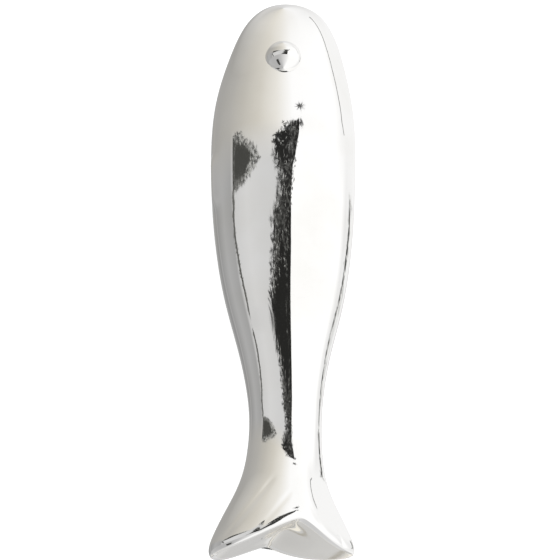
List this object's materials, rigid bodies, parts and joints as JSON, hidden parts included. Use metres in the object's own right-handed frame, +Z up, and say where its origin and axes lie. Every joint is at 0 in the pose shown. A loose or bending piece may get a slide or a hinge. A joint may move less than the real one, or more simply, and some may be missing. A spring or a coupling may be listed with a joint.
{
  "type": "fish ornament",
  "caption": "Weighted table ornament: a mirror-polished silver fish with domed eyes, a slim waist and a thick forked tail, lying on its flank on two small pads.",
  "frame": {"origin": "on the surface that it rests on, under the middle of its length and height", "axes": "+Y from the tail to the snout, +X from the back to the belly, +Z up out of the flank that faces up"},
  "size_m": [0.0565, 0.2201, 0.0471],
  "materials": {
    "mirror_silver": "mirror-polished silver plate",
    "plate_silver": "polished silver plate",
    "eye_silver": "mirror-polished silver plate",
    "plug_silver": "polished silver plate",
    "strip_brass": "plain brass strip, tinned with solder",
    "washer_steel": "spring steel",
    "rod_steel": "drawn mild steel",
    "filling": "cast mineral-filled resin",
    "pad_rubber": "matt"
  },
  "bodies": {
    "root": {"flank_shell_upper": "mirror_silver", "flank_shell_lower": "mirror_silver", "seam_strip_back": "strip_brass", "seam_strip_belly": "strip_brass", "tail_end_plate": "plate_silver", "eye_upper": "eye_silver", "eye_lower": "eye_silver", "eye_washer_upper": "washer_steel", "eye_washer_lower": "washer_steel", "weight_core": "filling", "core_rod": "rod_steel", "fill_plug": "plug_silver", "rest_pad_body": "pad_rubber", "rest_pad_tail": "pad_rubber"}
  },
  "joints": []
}
